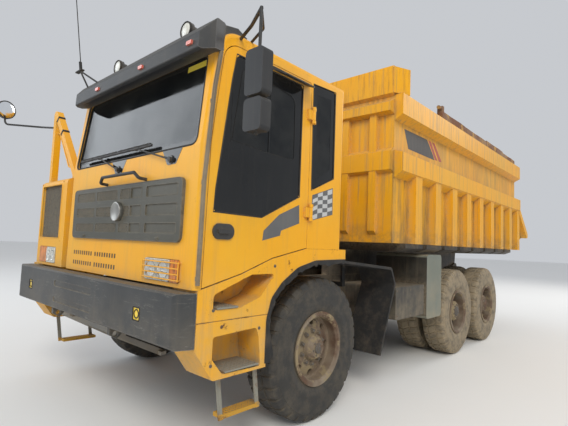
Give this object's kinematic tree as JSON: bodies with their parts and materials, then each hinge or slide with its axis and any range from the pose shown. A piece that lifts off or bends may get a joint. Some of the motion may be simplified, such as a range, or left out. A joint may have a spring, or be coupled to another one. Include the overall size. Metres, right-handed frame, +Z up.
{
  "type": "mining dump truck",
  "caption": "Wide-body mining dump truck with an offset cab, front-lift tipping body, steered front wheels and twin rear wheels.",
  "frame": {"origin": "on the ground under the middle of the truck's bounding box, body down and wheels straight", "axes": "+Z up, -Y towards the truck's front, +X to the driver's left"},
  "size_m": [4.5793, 10.1799, 4.6515],
  "materials": {
    "yellow_paint": "faded amber enamel, dusty",
    "dark_paint": "dark grey enamel, scuffed",
    "steel": "black chassis paint under dust",
    "rim_paint": "yellow paint gone to rust and mud",
    "tyre": "worn rubber with dust",
    "rubber": "matt",
    "glass": "tinted",
    "lamp": "clear lenses",
    "amber_lamp": "amber lenses",
    "plastic": "moulded, grained",
    "tank_paint": "grey-green enamel, dusty",
    "rust": "rusted plate with paint left in places",
    "chrome_rod": "hard chrome"
  },
  "bodies": {
    "chassis": {"frame_rails": "steel", "crossmembers": "steel", "front_axle": "steel", "leaf_springs": "steel", "rear_axles": "steel", "power_train": "steel", "bumper": "dark_paint", "sump_guard": "steel", "cab_floor": "steel", "cab_front": "yellow_paint", "cab_roof": "yellow_paint", "cab_rear": "yellow_paint", "cab_left_side": "yellow_paint", "cab_right_side": "yellow_paint", "cab_glass": "glass", "cab_interior": "plastic", "visors": "plastic", "grille": "plastic", "lamps": "lamp", "amber_lamps": "amber_lamp", "aerial": "rubber", "wipers": "dark_paint", "pillar_pipe": "dark_paint", "cooling_column": "yellow_paint", "handrail": "yellow_paint", "side_deck": "rust", "fenders": "yellow_paint", "mudguards": "rubber", "ladders": "rust", "mirrors": "plastic", "side_tanks": "tank_paint", "air_cleaner": "dark_paint"},
    "door_left": {"door_shell": "yellow_paint", "door_glass": "glass", "door_trim": "plastic"},
    "knuckle_left": {"knuckle_left": "steel"},
    "knuckle_right": {"knuckle_right": "steel"},
    "tie_rod": {"tie_rod": "steel"},
    "wheel_front_left": {"tyre_front_left": "tyre", "rim_front_left": "rim_paint"},
    "wheel_front_right": {"tyre_front_right": "tyre", "rim_front_right": "rim_paint"},
    "dump_body": {"body_side_left": "yellow_paint", "body_side_right": "yellow_paint", "body_floor": "rust", "body_front": "yellow_paint", "body_subframe": "yellow_paint", "body_boards": "rust"},
    "lift_barrel": {"lift_barrel": "dark_paint"},
    "lift_stage_1": {"lift_stage_1": "chrome_rod"},
    "lift_stage_2": {"lift_stage_2": "chrome_rod"},
    "lift_stage_3": {"lift_stage_3": "chrome_rod"},
    "wheels_rear_1_left": {"tyres_rear_1_left": "tyre", "rim_rear_1_left": "rim_paint"},
    "wheels_rear_1_right": {"tyres_rear_1_right": "tyre", "rim_rear_1_right": "rim_paint"},
    "wheels_rear_2_left": {"tyres_rear_2_left": "tyre", "rim_rear_2_left": "rim_paint"},
    "wheels_rear_2_right": {"tyres_rear_2_right": "tyre", "rim_rear_2_right": "rim_paint"}
  },
  "joints": [
    {"name": "steer_left", "type": "hinge", "parent": "chassis", "child": "knuckle_left", "pos_m": [1.17, -3.11, 0.684], "axis": [0, 0, 1], "range_deg": [-35, 35]},
    {"name": "steer_right", "type": "hinge", "parent": "chassis", "child": "knuckle_right", "pos_m": [-1.17, -3.11, 0.684], "axis": [0, 0, 1], "range_deg": [-35, 35]},
    {"name": "tie_rod_pivot", "type": "hinge", "parent": "knuckle_left", "child": "tie_rod", "pos_m": [1.17, -2.85, 0.535], "axis": [0, 0, 1], "range_deg": [-35, 35]},
    {"name": "roll_front_left", "type": "hinge", "parent": "knuckle_left", "child": "wheel_front_left", "pos_m": [1.42, -3.11, 0.684], "axis": [1, 0, 0], "continuous": true},
    {"name": "roll_front_right", "type": "hinge", "parent": "knuckle_right", "child": "wheel_front_right", "pos_m": [-1.42, -3.11, 0.684], "axis": [1, 0, 0], "continuous": true},
    {"name": "door_left_open", "type": "hinge", "parent": "chassis", "child": "door_left", "pos_m": [1.716, -3.465, 2.44], "axis": [0, 0, 1], "range_deg": [0, 75]},
    {"name": "bed_tip", "type": "hinge", "parent": "chassis", "child": "dump_body", "pos_m": [0, 3.49, 1.3], "axis": [-1, 0, 0], "range_deg": [0, 45]},
    {"name": "lift_swing", "type": "hinge", "parent": "chassis", "child": "lift_barrel", "pos_m": [0, -2.42, 1.1], "axis": [-1, 0, 0], "range_deg": [0, 22.5]},
    {"name": "roll_rear_1_left", "type": "hinge", "parent": "chassis", "child": "wheels_rear_1_left", "pos_m": [1.19, 0.69, 0.684], "axis": [1, 0, 0], "continuous": true},
    {"name": "roll_rear_1_right", "type": "hinge", "parent": "chassis", "child": "wheels_rear_1_right", "pos_m": [-1.19, 0.69, 0.684], "axis": [1, 0, 0], "continuous": true},
    {"name": "roll_rear_2_left", "type": "hinge", "parent": "chassis", "child": "wheels_rear_2_left", "pos_m": [1.19, 2.21, 0.684], "axis": [1, 0, 0], "continuous": true},
    {"name": "roll_rear_2_right", "type": "hinge", "parent": "chassis", "child": "wheels_rear_2_right", "pos_m": [-1.19, 2.21, 0.684], "axis": [1, 0, 0], "continuous": true},
    {"name": "lift_slide_1", "type": "slide", "parent": "lift_barrel", "child": "lift_stage_1", "axis": [0, 0.155, 0.9879], "range_m": [0, 1.4458]},
    {"name": "lift_slide_2", "type": "slide", "parent": "lift_stage_1", "child": "lift_stage_2", "axis": [0, 0.155, 0.9879], "range_m": [0, 1.4458]},
    {"name": "lift_slide_3", "type": "slide", "parent": "lift_stage_2", "child": "lift_stage_3", "axis": [0, 0.155, 0.9879], "range_m": [0, 1.4458]}
  ],
  "couplings": [
    {"joint": "steer_right", "follows": "steer_left", "ratio": 1},
    {"joint": "tie_rod_pivot", "follows": "steer_left", "ratio": -1},
    {"joint": "lift_swing", "follows": "bed_tip", "ratio": 0.5},
    {"joint": "lift_slide_1", "follows": "bed_tip", "m_per_rad": 1.8383},
    {"joint": "lift_slide_2", "follows": "bed_tip", "m_per_rad": 1.8383},
    {"joint": "lift_slide_3", "follows": "bed_tip", "m_per_rad": 1.8383}
  ]
}
